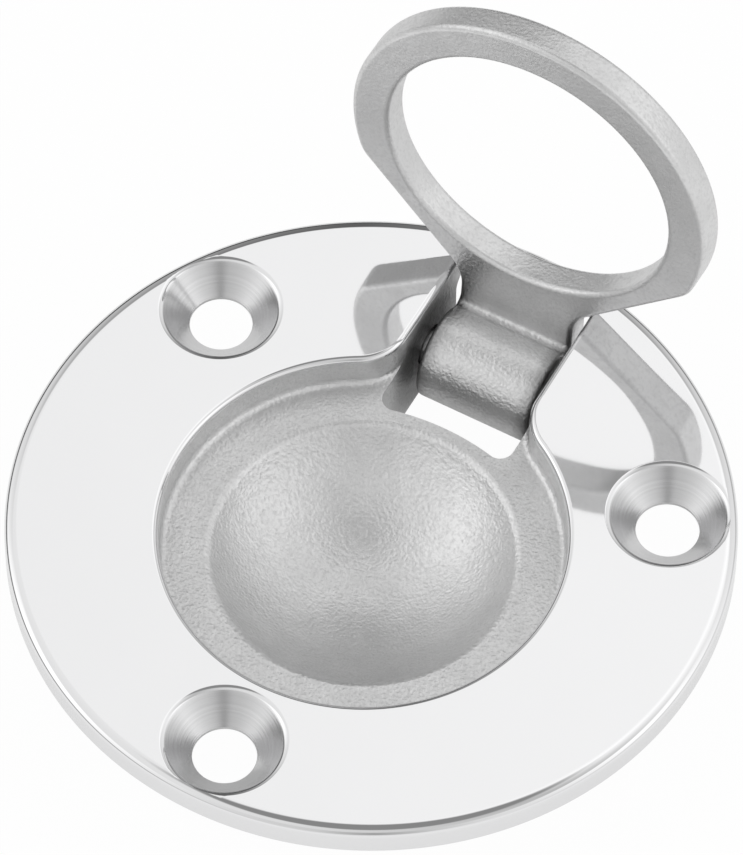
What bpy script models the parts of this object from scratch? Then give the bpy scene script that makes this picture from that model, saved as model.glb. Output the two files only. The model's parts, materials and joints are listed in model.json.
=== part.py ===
"""Flush ring pull for a hatch, lid or floor panel.

A cast stainless plate is let into the panel. Its keyhole recess holds a hinged ring, so that the ring lies flush
when it is closed. A dished cup below the ring gives a finger room to lift it. The ring's barrel turns on a plain pin
between two lugs that hang below the plate.

Units are metres, +Z is up. The origin is the centre of the plate's back face, which sits on the panel.
The hinge is at +Y with its axis along X. The ring is modelled open, resting on its stop.
"""

import math

import bmesh
import bpy
from mathutils import Matrix, Vector

MM = 0.001

# Plate
PLATE_THICKNESS = 2.5 * MM
EDGE_ROUND = 0.5 * MM            # rounding of the plate's upper edges
RIM_WIDTH = 1.956 * MM           # plate between the hinge pocket and the rim

# Screw holes, for a 5 mm countersunk screw
HOLE_COUNT = 3
FIRST_HOLE_ANGLE = 30            # degrees from +X
HOLE_RADIUS = 2.5 * MM
SCREW_HEAD_RADIUS = 4.75 * MM    # countersink at the plate's face
COUNTERSINK_ANGLE = 90           # degrees, across the cone
COUNTERSINK_LIP = 0.3 * MM
INNER_LAND = 1.15 * MM           # flat plate between the recess and the countersink opposite the hinge
OUTER_LAND = 0.65 * MM           # flat plate between a countersink and the rim

# Recess for the ring
RECESS_DEPTH = 3.1 * MM
NECK_CORNER_RADIUS = 4.5 * MM    # rounds the plate between the round recess and its neck
RECESS_FLOOR_ROUND = 0.6 * MM
WALL = 1.8 * MM                  # casting wall below the plate
TUB_ROUND = 1.2 * MM             # rounds the casting's outside below the plate

# Dished finger cup in the recess floor
LEDGE_WIDTH = 3.85 * MM          # recess floor round the cup
CUP_DEPTH = 5.8 * MM
CUP_RIM_ROUND = 1.0 * MM

# Ring and tab
RING_BORE_RADIUS = 12.25 * MM
RING_WIDTH = 3.25 * MM
RING_THICKNESS = 2.7 * MM
RING_CLEARANCE = 0.4 * MM        # between the ring and the recess wall
TAB_HALF_WIDTH = 5.0 * MM
TAB_SIDE_CLEARANCE = 0.8 * MM
SHOULDER_ANGLE = 44.5            # degrees, slope of the shoulders between ring and tab
SHOULDER_CUT = 1.35 * MM         # how far a straight shoulder runs inside the ring's outer circle
SHOULDER_ROUND = 3.0 * MM
TAB_ROOT_ROUND = 4.0 * MM
RING_EDGE_ROUND = 0.45 * MM

# Hinge
HINGE_DROP = 3.4 * MM            # axis below the plate's back face
BARREL_RADIUS = 3.9 * MM
KNUCKLE_BACK_ROUND = 3.0 * MM    # rounds the tab's end over the barrel
CREASE_ROUND = 0.5 * MM          # fillet between the tab and the barrel
PIN_RADIUS = 1.5 * MM
PIN_CLEARANCE = 0.3 * MM
PIN_END_ROUND = 0.3 * MM
OPEN_ANGLE = 94.0                # degrees from flush to the stop
STOP_GAP = 0.25 * MM             # between the tab and the plate's edge in the open position

# Hinge pocket and lugs
CUP_LAND = 1.15 * MM             # recess floor between the cup and the pocket
POCKET_GAP = 4.2 * MM            # between the pocket's near wall and the barrel
POCKET_NEAR_ARCH = 20.0 * MM     # radius of the pocket's arched near wall
POCKET_CORNER = 1.2 * MM
LUG_THICKNESS = 2.6 * MM
LUG_REACH = 4.5 * MM             # lug beyond the hinge axis
LUG_SKIRT = 0.9 * MM             # lug below the barrel
LUG_CORNER = 3.2 * MM
LUG_ROOT_ROUND = 1.5 * MM
LUG_EDGE_ROUND = 0.5 * MM

# Values that follow from the sizes above
TOP = PLATE_THICKNESS
LEDGE_Z = TOP - RECESS_DEPTH
RING_RADIUS = RING_BORE_RADIUS + RING_WIDTH
RECESS_RADIUS = RING_RADIUS + RING_CLEARANCE
CUP_RADIUS = RECESS_RADIUS - LEDGE_WIDTH
SHOULDER_OFFSET = RING_RADIUS - SHOULDER_CUT
NECK_HALF_WIDTH = TAB_HALF_WIDTH + TAB_SIDE_CLEARANCE
HINGE_Z = -HINGE_DROP
LUG_DEPTH = HINGE_DROP + BARREL_RADIUS + LUG_SKIRT   # lowest face of the casting, below the plate's back face
TAB_TOP = TOP - HINGE_Z          # tab's flush face above the hinge axis, ring closed
TAB_UNDER = TAB_TOP - RING_THICKNESS
LUG_OUTER_X = NECK_HALF_WIDTH + LUG_THICKNESS
PIN_HALF_LENGTH = LUG_OUTER_X
CUP_SPHERE = (CUP_RADIUS ** 2 + CUP_DEPTH ** 2) / (2 * CUP_DEPTH)
CUP_SPHERE_Z = LEDGE_Z - CUP_DEPTH + CUP_SPHERE


def stop_reach():
    """From the hinge axis to the pocket's far wall: the open tab stops just short of the rounded edge above it."""
    opened = math.radians(OPEN_ANGLE)
    edge_height = TOP - EDGE_ROUND - HINGE_Z
    reach = (TAB_TOP + EDGE_ROUND + STOP_GAP - edge_height * math.cos(opened)) / math.sin(opened)
    return reach - EDGE_ROUND


# The recess is set back from the hinge, so that the plate's rim centres on the pocket and on the screw opposite it
HINGE_SIDE = CUP_RADIUS + CUP_LAND + POCKET_GAP + BARREL_RADIUS + stop_reach() + RIM_WIDTH
SCREW_SIDE = RECESS_RADIUS + INNER_LAND + 2 * SCREW_HEAD_RADIUS + OUTER_LAND
PLATE_RADIUS = (HINGE_SIDE + SCREW_SIDE) / 2
RECESS_CENTRE_Y = (SCREW_SIDE - HINGE_SIDE) / 2
HOLE_CIRCLE_RADIUS = PLATE_RADIUS - OUTER_LAND - SCREW_HEAD_RADIUS
POCKET_NEAR_Y = RECESS_CENTRE_Y + CUP_RADIUS + CUP_LAND
HINGE_Y = POCKET_NEAR_Y + POCKET_GAP + BARREL_RADIUS
POCKET_END_Y = HINGE_Y + stop_reach()
LUG_END_Y = HINGE_Y + LUG_REACH

ABOVE = 1.0 * MM                 # how far a cutter runs past a face
SLIVER = 0.01 * MM
ARC_STEP = 5.0                   # degrees between the points of a small arc
RUN_OUT = 2.0                    # degrees short of a tangent, where the recess meets the pocket's side
ROUND_STEPS = 72
RIM_STEPS = 144
SMOOTH_ANGLE = 32                # degrees; sharper edges stay sharp in shading


# Scene and collections

def clear_scene():
    for item in list(bpy.data.objects):
        bpy.data.objects.remove(item, do_unlink=True)


def collection(name):
    group = bpy.data.collections.new(name)
    bpy.context.scene.collection.children.link(group)
    return group


def metal(name, colour, roughness):
    material = bpy.data.materials.new(name)
    material.use_nodes = True
    shader = material.node_tree.nodes["Principled BSDF"]
    shader.inputs["Base Color"].default_value = (*colour, 1.0)
    shader.inputs["Metallic"].default_value = 1.0
    shader.inputs["Roughness"].default_value = roughness
    material.diffuse_color = (*colour, 1.0)
    return material


# Outlines

def arc(centre, radius, start, end, step=ARC_STEP):
    """Points on an arc from one angle to another, in degrees, both ends included."""
    count = max(2, math.ceil(abs(end - start) / step))
    angles = [math.radians(start + (end - start) * k / count) for k in range(count + 1)]
    return [Vector((centre[0] + radius * math.cos(a), centre[1] + radius * math.sin(a))) for a in angles]


def without_repeats(points):
    kept = []
    for point in points:
        if not kept or (point - kept[-1]).length > SLIVER:
            kept.append(point)
    if (kept[0] - kept[-1]).length <= SLIVER:
        kept.pop()
    return kept


def mirrored(half):
    """Closes a right-hand half outline, from -Y round to +Y, with its mirror image in the YZ plane."""
    return without_repeats(half + [Vector((-p.x, p.y)) for p in reversed(half)])


def recess_outline():
    """Round recess whose hollow shoulders run out into the sides of the hinge pocket."""
    shoulder_x = NECK_HALF_WIDTH + NECK_CORNER_RADIUS
    reach = RECESS_RADIUS + NECK_CORNER_RADIUS
    shoulder_y = RECESS_CENTRE_Y + math.sqrt(reach ** 2 - shoulder_x ** 2)
    tangent = math.degrees(math.acos(shoulder_x / reach))
    half = arc((0, RECESS_CENTRE_Y), RECESS_RADIUS, -90, tangent, 3)
    half += arc((shoulder_x, shoulder_y), NECK_CORNER_RADIUS, tangent + 180, 180 + RUN_OUT)
    half.append(Vector((NECK_HALF_WIDTH - POCKET_CORNER, shoulder_y)))
    return mirrored(half)


def pocket_outline():
    """Through pocket below the neck: arched near wall, straight sides, square far wall with rounded corners."""
    near_side_y = POCKET_NEAR_Y - POCKET_NEAR_ARCH
    side = NECK_HALF_WIDTH - POCKET_CORNER
    spread = math.degrees(math.asin(side / POCKET_NEAR_ARCH))
    arch = arc((0, near_side_y), POCKET_NEAR_ARCH, 90, 90 - spread, 2)
    half = list(arch)
    half += arc((side, arch[-1].y + POCKET_CORNER), POCKET_CORNER, -90, 0, 15)
    half += arc((side, POCKET_END_Y - POCKET_CORNER), POCKET_CORNER, 0, 90, 15)
    return mirrored(half)


def ring_outline():
    """Plan of the ring, closed: sloping shoulders run into the tab, which passes the end of the barrel."""
    slope = math.radians(SHOULDER_ANGLE)
    along = Vector((-math.cos(slope), math.sin(slope)))
    outward = Vector((math.sin(slope), math.cos(slope)))
    centre = Vector((0, RECESS_CENTRE_Y))

    # rounded corner between the ring's outer circle and the straight shoulder
    inner = SHOULDER_OFFSET - SHOULDER_ROUND
    back = math.sqrt((RING_RADIUS - SHOULDER_ROUND) ** 2 - inner ** 2)
    corner = centre + outward * inner - along * back
    start = math.degrees(math.atan2(corner.y - centre.y, corner.x))
    facing = math.degrees(math.atan2(outward.y, outward.x))
    half = arc(centre, RING_RADIUS, -90, start, 3)
    half += arc(corner, SHOULDER_ROUND, start, facing)

    # hollow corner between the shoulder and the tab's side
    root_x = TAB_HALF_WIDTH + TAB_ROOT_ROUND
    line = centre + outward * (SHOULDER_OFFSET + TAB_ROOT_ROUND)
    root = Vector((root_x, line.y + (root_x - line.x) * along.y / along.x))
    half += arc(root, TAB_ROOT_ROUND, facing + 180, 180)
    half.append(Vector((TAB_HALF_WIDTH, HINGE_Y + BARREL_RADIUS + ABOVE)))
    return mirrored(half)


def ring_side_outline():
    """Side view of ring, tab and barrel, ring closed, as (y, z) from the hinge axis, anticlockwise."""
    free_end = RECESS_CENTRE_Y - RING_RADIUS - ABOVE - HINGE_Y
    fillet_z = TAB_UNDER - CREASE_ROUND
    fillet_y = -math.sqrt((BARREL_RADIUS + CREASE_ROUND) ** 2 - fillet_z ** 2)
    touch = math.degrees(math.atan2(fillet_z, fillet_y))
    points = [Vector((free_end, TAB_UNDER))]
    points += arc((fillet_y, fillet_z), CREASE_ROUND, 90, touch - 180, 15)
    points += arc((0, 0), BARREL_RADIUS, touch, 360, 6)
    points += arc((BARREL_RADIUS - KNUCKLE_BACK_ROUND, TAB_TOP - KNUCKLE_BACK_ROUND), KNUCKLE_BACK_ROUND, 0, 90, 9)
    points.append(Vector((free_end, TAB_TOP)))
    return without_repeats(points)


def hinge_block_outline():
    """Side view of the lugs as (y, z): square at the cup, rounded far corner, hollow root under the plate."""
    near_y = POCKET_NEAR_Y - WALL
    bury = -EDGE_ROUND
    points = [Vector((near_y, -bury)), Vector((near_y, -LUG_DEPTH))]
    points += arc((LUG_END_Y - LUG_CORNER, LUG_CORNER - LUG_DEPTH), LUG_CORNER, -90, 0, 10)
    points += arc((LUG_END_Y + LUG_ROOT_ROUND, -LUG_ROOT_ROUND), LUG_ROOT_ROUND, 180, 90, 15)
    points.append(Vector((LUG_END_Y + LUG_ROOT_ROUND, -bury)))
    return without_repeats(points)


# Solids

def place(name, mesh, group):
    item = bpy.data.objects.new(name, mesh)
    group.objects.link(item)
    return item


def prism(name, outline, low, high, group):
    """Upright prism on an outline in the XY plane: a filled 2D curve, extruded to both sides of its middle."""
    curve = bpy.data.curves.new(name, "CURVE")
    curve.dimensions = "2D"
    curve.fill_mode = "BOTH"
    curve.extrude = (high - low) / 2
    spline = curve.splines.new("POLY")
    spline.points.add(len(outline) - 1)
    for point, spot in zip(spline.points, outline):
        point.co = (spot.x, spot.y, 0, 1)
    spline.use_cyclic_u = True
    flat = place(name + "_outline", curve, group)
    flat.location.z = (low + high) / 2
    bpy.context.view_layer.update()
    mesh = bpy.data.meshes.new_from_object(flat.evaluated_get(bpy.context.evaluated_depsgraph_get()))

    # the caps come loose and in triangles: weld them, and make each cap one face again
    work = bmesh.new()
    work.from_mesh(mesh)
    bmesh.ops.remove_doubles(work, verts=work.verts, dist=SLIVER / 2)
    bmesh.ops.dissolve_limit(work, angle_limit=math.radians(0.05), verts=work.verts, edges=work.edges)
    bmesh.ops.recalc_face_normals(work, faces=work.faces)
    work.to_mesh(mesh)
    work.free()
    mesh.name = name
    item = place(name, mesh, group)
    item.matrix_world = flat.matrix_world
    bpy.data.objects.remove(flat)
    bpy.data.curves.remove(curve)
    item.data.transform(item.matrix_world)
    item.matrix_world = Matrix.Identity(4)
    return item


def side_prism(name, outline, half_width, group):
    """Prism along X on an outline given as (y, z)."""
    item = prism(name, outline, -half_width, half_width, group)
    turn = Matrix(((0, 0, 1, 0), (1, 0, 0, 0), (0, 1, 0, 0), (0, 0, 0, 1)))
    item.data.transform(turn)
    return item


def revolve(name, profile, group, centre=(0, 0), steps=ROUND_STEPS):
    """Turned solid from (radius, z) points that run from the axis down the outer side and back to the axis."""
    mesh = bpy.data.meshes.new(name)
    mesh.from_pydata([(r, 0, z) for r, z in profile], [(k, k + 1) for k in range(len(profile) - 1)], [])
    item = place(name, mesh, group)
    screw = item.modifiers.new("Turn", "SCREW")
    screw.angle = math.tau
    screw.steps = steps
    screw.render_steps = steps
    screw.use_merge_vertices = True
    screw.merge_threshold = 0.00001
    bake(item)
    item.data.transform(Matrix.Translation((centre[0], centre[1], 0)))
    return item


def cylinder(name, radius, length, turn, group, steps=40):
    """Cylinder with whole round ends, about the origin along Z, then placed by a matrix."""
    mesh = bpy.data.meshes.new(name)
    work = bmesh.new()
    bmesh.ops.create_cone(work, cap_ends=True, segments=steps, radius1=radius, radius2=radius, depth=length,
                          matrix=turn)
    work.to_mesh(mesh)
    work.free()
    return place(name, mesh, group)


def cylinder_x(name, radius, half_length, centre, group):
    turn = Matrix.Translation(centre) @ Matrix.Rotation(math.pi / 2, 4, "Y")
    return cylinder(name, radius, 2 * half_length, turn, group)


def bake(item):
    """Replaces an object's mesh with the mesh that its modifiers give."""
    bpy.context.view_layer.update()
    evaluated = item.evaluated_get(bpy.context.evaluated_depsgraph_get())
    old = item.data
    item.data = bpy.data.meshes.new_from_object(evaluated)
    item.modifiers.clear()
    bpy.data.meshes.remove(old)


def combine(item, other, operation):
    """Boolean of two solids; the second one stays behind as a hidden wire guide."""
    other.hide_render = True
    other.display_type = "WIRE"
    step = item.modifiers.new(operation.title(), "BOOLEAN")
    step.operation = operation
    step.object = other
    step.solver = "EXACT"
    bake(item)


def round_edges(item, width, chosen, segments=3):
    """Rounds the edges for which chosen(edge) is true, by bevel weight."""
    work = bmesh.new()
    work.from_mesh(item.data)
    layer = work.edges.layers.float.get("bevel_weight_edge") or work.edges.layers.float.new("bevel_weight_edge")
    for edge in work.edges:
        edge[layer] = 1.0 if chosen(edge) else 0.0
    work.to_mesh(item.data)
    work.free()
    bevel = item.modifiers.new("Round", "BEVEL")
    bevel.limit_method = "WEIGHT"
    bevel.width = width
    bevel.segments = segments
    bevel.use_clamp_overlap = False
    bake(item)
    work = bmesh.new()
    work.from_mesh(item.data)
    layer = work.edges.layers.float.get("bevel_weight_edge")
    if layer:
        work.edges.layers.float.remove(layer)
    work.to_mesh(item.data)
    work.free()


def sharp(edge, degrees):
    return len(edge.link_faces) == 2 and edge.calc_face_angle() > math.radians(degrees)


def at_height(edge, z):
    return all(abs(v.co.z - z) < SLIVER for v in edge.verts)


def lug_edge(edge):
    """Edges of the lugs' outer sides, without the root under the plate."""
    on_side = all(abs(abs(v.co.x) - LUG_OUTER_X) < SLIVER for v in edge.verts)
    return on_side and min(v.co.z for v in edge.verts) < -LUG_ROOT_ROUND - SLIVER


def shade(item):
    item.data.shade_smooth()
    item.data.set_sharp_from_angle(angle=math.radians(SMOOTH_ANGLE))


# The castings and the pin

def cup_profile():
    """Finger cup as a spherical dish whose rim is rounded into the recess floor."""
    rim_z = LEDGE_Z - CUP_RIM_ROUND
    rim_r = math.sqrt((CUP_SPHERE + CUP_RIM_ROUND) ** 2 - (CUP_SPHERE_Z - rim_z) ** 2)
    touch = math.degrees(math.atan2(CUP_SPHERE_Z - rim_z, -rim_r))
    bottom = -90
    sphere_start = math.degrees(math.atan2(rim_z - CUP_SPHERE_Z, rim_r))
    profile = [Vector((0, LEDGE_Z + ABOVE)), Vector((rim_r, LEDGE_Z + ABOVE))]
    profile += [p + Vector((0, SLIVER)) for p in arc((rim_r, rim_z), CUP_RIM_ROUND, 90, touch, 10)]
    profile += arc((0, CUP_SPHERE_Z), CUP_SPHERE, sphere_start, bottom, 5)[1:]
    return profile


def tub_profile():
    """Outside of the casting under the plate: rounded root, short wall, rounded corner and the cup's dome."""
    wall_r = RECESS_RADIUS + WALL
    floor_z = LEDGE_Z - WALL
    dish = CUP_SPHERE + WALL
    hollow_z = floor_z - TUB_ROUND
    hollow_r = math.sqrt((dish + TUB_ROUND) ** 2 - (CUP_SPHERE_Z - hollow_z) ** 2)
    touch = math.degrees(math.atan2(hollow_z - CUP_SPHERE_Z, hollow_r))
    root = min(TUB_ROUND, -floor_z - TUB_ROUND)
    profile = [Vector((0, PLATE_THICKNESS / 2)), Vector((wall_r + root, PLATE_THICKNESS / 2))]
    profile += arc((wall_r + root, -root), root, 90, 180, 30)
    profile += arc((wall_r - TUB_ROUND, floor_z + TUB_ROUND), TUB_ROUND, 0, -90, 30)
    profile += arc((hollow_r, hollow_z), TUB_ROUND, 90, touch + 180, 20)
    profile += arc((0, CUP_SPHERE_Z), dish, touch, -90, 6)[1:]
    return without_repeats(profile)


def countersink_profile():
    """Screw hole with its cone and a small rounded lip at the plate's face."""
    slope = math.radians(COUNTERSINK_ANGLE / 2)
    cone_depth = (SCREW_HEAD_RADIUS - HOLE_RADIUS) / math.tan(slope)
    lip_z = TOP - COUNTERSINK_LIP
    lip_r = SCREW_HEAD_RADIUS + COUNTERSINK_LIP * math.tan(slope / 2)
    profile = [Vector((0, TOP + ABOVE)), Vector((lip_r, TOP + ABOVE))]
    lip_end = 90 + math.degrees(slope)
    profile += [p + Vector((0, SLIVER)) for p in arc((lip_r, lip_z), COUNTERSINK_LIP, 90, lip_end, 15)]
    profile += [Vector((HOLE_RADIUS, TOP - cone_depth)), Vector((HOLE_RADIUS, -ABOVE)), Vector((0, -ABOVE))]
    return profile


def make_base_plate(parts, guides):
    middle = Matrix.Translation((0, 0, TOP / 2))
    plate = cylinder("base_plate", PLATE_RADIUS, PLATE_THICKNESS, middle, parts, RIM_STEPS)

    # outside of the casting below the plate
    tub = revolve("tub_outside", tub_profile(), guides, (0, RECESS_CENTRE_Y))
    lugs = side_prism("lugs_outside", hinge_block_outline(), LUG_OUTER_X, guides)
    round_edges(lugs, LUG_EDGE_ROUND, lambda e: lug_edge(e) and sharp(e, 60), 2)
    for piece in (tub, lugs):
        combine(plate, piece, "UNION")

    # keyhole recess with a rounded floor corner, and the pocket right through
    recess = prism("recess_cut", recess_outline(), LEDGE_Z, TOP + ABOVE, guides)
    round_edges(recess, RECESS_FLOOR_ROUND, lambda e: at_height(e, LEDGE_Z) and sharp(e, 60))
    pocket = prism("pocket_cut", pocket_outline(), -LUG_DEPTH - ABOVE, TOP + ABOVE, guides)
    combine(plate, recess, "DIFFERENCE")
    combine(plate, pocket, "DIFFERENCE")
    round_edges(plate, EDGE_ROUND, lambda e: at_height(e, TOP) and sharp(e, 60))

    cup = revolve("cup_cut", cup_profile(), guides, (0, RECESS_CENTRE_Y))
    combine(plate, cup, "DIFFERENCE")
    for k in range(HOLE_COUNT):
        turn = math.radians(FIRST_HOLE_ANGLE + 360 * k / HOLE_COUNT)
        spot = (HOLE_CIRCLE_RADIUS * math.cos(turn), HOLE_CIRCLE_RADIUS * math.sin(turn))
        hole = revolve("screw_hole_cut_%d" % (k + 1), countersink_profile(), guides, spot, 48)
        combine(plate, hole, "DIFFERENCE")
    bore = cylinder_x("lug_bore_cut", PIN_RADIUS + PIN_CLEARANCE, LUG_OUTER_X + ABOVE,
                      Vector((0, HINGE_Y, HINGE_Z)), guides)
    combine(plate, bore, "DIFFERENCE")
    shade(plate)
    plate.data.materials.clear()
    plate.data.materials.append(metal("polished_cast_steel", (0.80, 0.80, 0.81), 0.15))
    return plate


def make_pull_ring(parts, guides):
    """Modelled closed, about the hinge axis, then turned to its open position by the object's rotation."""
    axis = Vector((0, HINGE_Y, HINGE_Z))
    ring = prism("pull_ring", ring_outline(), HINGE_Z - BARREL_RADIUS - ABOVE, TOP + ABOVE, parts)
    side = side_prism("ring_side_view", ring_side_outline(), RING_RADIUS + ABOVE, guides)
    side.data.transform(Matrix.Translation(axis))
    combine(ring, side, "INTERSECT")
    bore = revolve("ring_bore_cut", [(0, TOP + ABOVE), (RING_BORE_RADIUS, TOP + ABOVE),
                                     (RING_BORE_RADIUS, LEDGE_Z - ABOVE), (0, LEDGE_Z - ABOVE)],
                   guides, (0, RECESS_CENTRE_Y))
    combine(ring, bore, "DIFFERENCE")
    round_edges(ring, RING_EDGE_ROUND, lambda e: e.is_convex and sharp(e, 60))
    hole = cylinder_x("barrel_bore_cut", PIN_RADIUS + PIN_CLEARANCE, TAB_HALF_WIDTH + ABOVE, axis, guides)
    combine(ring, hole, "DIFFERENCE")
    shade(ring)
    ring.data.materials.clear()
    ring.data.materials.append(metal("satin_cast_steel", (0.60, 0.60, 0.59), 0.42))

    ring.data.transform(Matrix.Translation(-axis))
    ring.location = axis
    ring.rotation_euler = (-math.radians(OPEN_ANGLE), 0, 0)
    return ring


def make_hinge_pin(parts):
    pin = cylinder_x("hinge_pin", PIN_RADIUS, PIN_HALF_LENGTH, Vector((0, HINGE_Y, HINGE_Z)), parts)
    round_edges(pin, PIN_END_ROUND, lambda e: sharp(e, 60), 2)
    shade(pin)
    pin.data.materials.append(metal("drawn_steel", (0.66, 0.66, 0.66), 0.3))
    return pin


def main():
    clear_scene()
    parts = collection("flush_ring_pull")
    guides = collection("cutters")
    make_base_plate(parts, guides)
    make_pull_ring(parts, guides)
    make_hinge_pin(parts)
    bpy.context.view_layer.update()


main()
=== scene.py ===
"""Looks of a round flush ring pull for a hatch, lid or floor panel.

The plate, the ring and the hinge pin are modelled again at fine steps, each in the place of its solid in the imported
model. The casting keeps one mesh, and its material tells the polished face, the satin recess and the machined
countersinks apart by where they lie. Sizes are in metres. The hinge is at +Y with its axis along X.
"""

import json
import math

import bmesh
import bpy
from mathutils import Matrix, Vector


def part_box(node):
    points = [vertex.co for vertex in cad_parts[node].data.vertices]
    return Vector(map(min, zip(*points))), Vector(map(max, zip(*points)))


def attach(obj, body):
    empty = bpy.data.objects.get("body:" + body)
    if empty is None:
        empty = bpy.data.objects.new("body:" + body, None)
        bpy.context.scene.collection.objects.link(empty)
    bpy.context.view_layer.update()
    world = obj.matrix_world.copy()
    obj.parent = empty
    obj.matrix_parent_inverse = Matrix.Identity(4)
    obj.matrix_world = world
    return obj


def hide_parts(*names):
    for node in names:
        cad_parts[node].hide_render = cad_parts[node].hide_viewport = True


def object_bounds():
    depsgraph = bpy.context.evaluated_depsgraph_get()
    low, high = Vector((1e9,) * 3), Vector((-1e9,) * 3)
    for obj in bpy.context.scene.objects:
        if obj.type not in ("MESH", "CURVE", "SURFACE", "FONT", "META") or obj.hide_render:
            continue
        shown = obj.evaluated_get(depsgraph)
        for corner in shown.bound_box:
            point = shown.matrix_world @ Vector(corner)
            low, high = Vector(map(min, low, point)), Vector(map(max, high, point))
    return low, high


bl_info = {
    "name": "Flush ring pull",
    "version": (1, 0, 0),
    "blender": (4, 5, 0),
    "location": "3D View > Sidebar > Ring Pull",
    "description": "Models a cast flush ring pull piece by piece, with its metal finishes and a plain studio",
    "category": "Object",
}

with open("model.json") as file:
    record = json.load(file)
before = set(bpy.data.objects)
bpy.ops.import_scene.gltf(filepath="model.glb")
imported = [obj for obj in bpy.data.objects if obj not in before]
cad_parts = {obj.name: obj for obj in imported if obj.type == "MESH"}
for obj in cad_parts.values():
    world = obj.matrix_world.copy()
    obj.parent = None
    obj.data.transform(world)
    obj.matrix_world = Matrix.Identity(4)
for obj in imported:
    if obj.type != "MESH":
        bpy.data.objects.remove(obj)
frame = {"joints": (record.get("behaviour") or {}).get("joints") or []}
CAD_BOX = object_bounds()
HINGE = Vector(frame["joints"][0]["pos_m"])
PLATE_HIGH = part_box("base_plate")[1]

SLIVER = 0.00001                # two places closer than this count as one
ABOVE = 0.001                   # how far a cutting tool stands out of what it cuts
SCREW_ANGLES = (30, 150, 270)   # degrees from +X
SCREW_LAND = 0.0054             # centre of a screw hole to the plate's edge
COUNTERSINK_SLOPE = 45          # degrees from the screw hole's axis
STRAIGHT = 0.2                  # degrees: two edges that turn less than this are one straight edge
SHARP = 60                      # degrees: an edge whose faces turn more than this is sharp
LUG_ROOT = 0.0015               # hollow where a lug runs out into the plate's back face

# Points round each turned or bored shape
RIM_STEPS, BORE_STEPS, TUB_STEPS, HOLE_STEPS, PIN_STEPS = 288, 180, 144, 96, 64

GRAIN_HEIGHT = 0.000075         # bump distance of the casting's pebbles
CLOUD_TONE = 0.94               # share of the satin's tone in its darker clouds
HOLLOW_TONE = 0.90              # share of the satin's tone between the pebbles
HOLLOW_ROUGH = 0.12             # added to the satin's roughness between the pebbles
PAINTED_SHADE = 0.40                     # share of the satin's tone left in the painted shade of the hinge's corners
MACHINED_TONES = (0.66, 0.92)   # shares of the polished tone in the turning marks
WAVE_HEIGHT = 0.00004           # bump distance of the long waves in the polish
MARK_HEIGHT = 0.00002           # bump distance of the turning marks
PIN_GRAIN_HEIGHT = 0.00003      # bump distance of the pin's drawn grain
RAGGED = 0.0005                 # band in which the polish's lower edge wanders

# Soft edges between the finishes and the painted shade: each has two bounds, measured from a named place
NEAR_BARREL = (0.0009, 0.0001)          # from the barrel's radius: the ring's skin to the barrel's
BARREL_ENDS = (-0.0016, 0.0)            # from the barrel's end: painted shade at the end
POLISH_BOTTOM = (-0.0005, -0.00035)     # from the top face: casting to polish
POLISH_RIM = (-0.0004, -0.0002)         # from the plate's radius: casting to polish
POLISH_BACK = (-0.00002, 0.00003)       # from the plate's back face: casting to polish
COUNTERSINK_TOP = (-0.00010, -0.00022)  # from a screw head's radius: lip to turned cone
COUNTERSINK_FOOT = (0.00001, 0.00004)   # from the plate's back face: casting to turned cone
POCKET_SIDES = (0.0004, 0.0002)         # from the neck's sides: open casting to painted shade on the walls
SHADE_NEAR_HINGE = (0.0072, 0.0040)          # from the hinge axis: open casting to painted shade on the walls

PHOTO_WIDTH, PHOTO_HEIGHT = 743, 855
SENSOR = 36                     # width of the camera's sensor in millimetres
FLOOR_GAP = 0.00002             # floor below the object's lowest point

# Glow of the floor that the metal sees: a share of it is left under the object, as a painted shadow, and behind it,
# as painted shade
UNDER_OBJECT, UNDER_GLOW = (0.022, 0.042), 0.36
BEHIND_OBJECT, BEHIND_GLOW = (0.020, 0.036), 0.45

# Light of the soft panels: each list is evenly spaced round the object, from -Y towards +X. Two gaps between the
# side panels are darker, one below the camera and one opposite it.
LOW_PANELS = [0.80, 0.95, 0.85, 0.85, 0.22, 0.06, 0.18, 0.44]
SIDE_PANELS = [0.80, 0.74, 0.44, 0.72, 0.88, 0.98, 1.15, 1.32, 1.26, 1.08, 0.98, 0.92,
               0.78, 0.40, 0.13, 0.46, 0.84, 0.98, 1.22, 1.42, 1.38, 1.22, 1.04, 0.90]
HIGH_PANELS = [0.90, 0.74, 0.60, 0.97, 1.28, 1.00, 0.96, 0.94]
ZENITH = 0.30

# Elevations in degrees over which one band of panels runs out into the next
LOW_TO_SIDE, SIDE_TO_HIGH, HIGH_TO_ZENITH = (10, 20), (45, 51), (68, 76)

# Direction on the floor that points away from the camera
AWAY_X, AWAY_Y = -0.480, 0.877


# Sizes, finishes and studio that a user would change

def length(name, description, default):
    """Setting for a size in metres."""
    return bpy.props.FloatProperty(name=name, description=description, default=default, min=0.0, soft_max=0.1,
                                   unit="LENGTH", precision=5)


def share(name, description, default):
    """Setting from nothing to one."""
    return bpy.props.FloatProperty(name=name, description=description, default=default, min=0.0, max=1.0,
                                   subtype="FACTOR")


def tone(name, description, default):
    """Setting for a colour."""
    return bpy.props.FloatVectorProperty(name=name, description=description, default=default, size=3, min=0.0,
                                         max=1.0, subtype="COLOR")


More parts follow.
